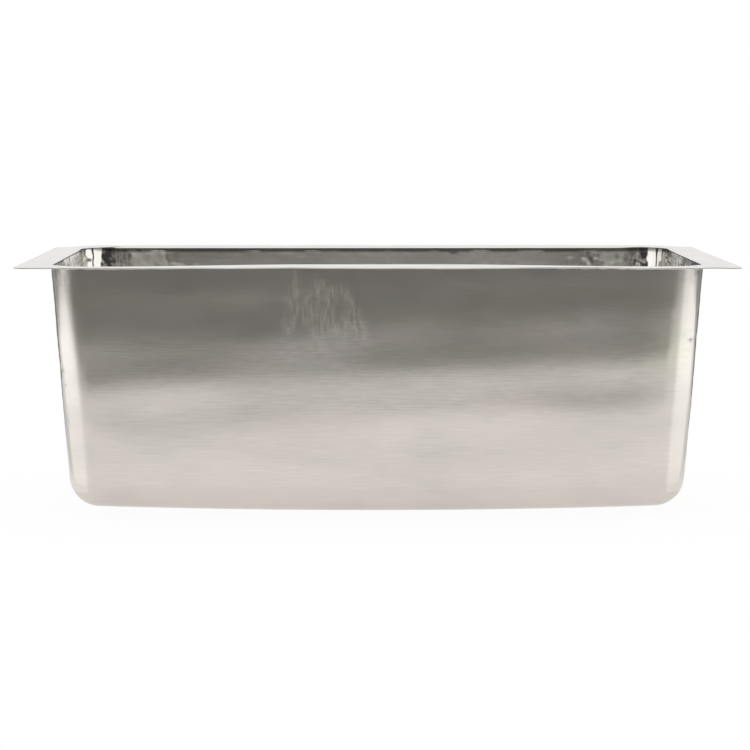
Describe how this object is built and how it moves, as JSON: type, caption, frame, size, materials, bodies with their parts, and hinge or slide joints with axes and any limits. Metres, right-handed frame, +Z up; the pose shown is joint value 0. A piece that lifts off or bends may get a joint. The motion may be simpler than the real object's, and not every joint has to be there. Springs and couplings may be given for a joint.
{
  "type": "kitchen sink",
  "caption": "Hammered stainless steel kitchen sink with one deep bowl, a flat rim to fix under or on a worktop, and a stepped drain hole in a dished floor.",
  "frame": {"origin": "middle of the bowl's opening, level with the top face of the rim", "axes": "+X to the right along the long side, +Y to the back, +Z up out of the bowl"},
  "size_m": [0.762, 0.508, 0.2726],
  "materials": {
    "sheet_steel": "hammered, with a brushed satin face outside and a polished face inside",
    "weld_steel": "weld metal, ground flush and brushed"
  },
  "bodies": {
    "root": {"rim_flange": "sheet_steel", "front_wall": "sheet_steel", "back_wall": "sheet_steel", "left_wall": "sheet_steel", "right_wall": "sheet_steel", "bottom_pan": "sheet_steel", "drain_seat": "sheet_steel", "rim_bead": "weld_steel", "front_left_seam": "weld_steel", "front_right_seam": "weld_steel", "back_left_seam": "weld_steel", "back_right_seam": "weld_steel", "pan_seam": "weld_steel", "drain_seam": "weld_steel"}
  },
  "joints": []
}
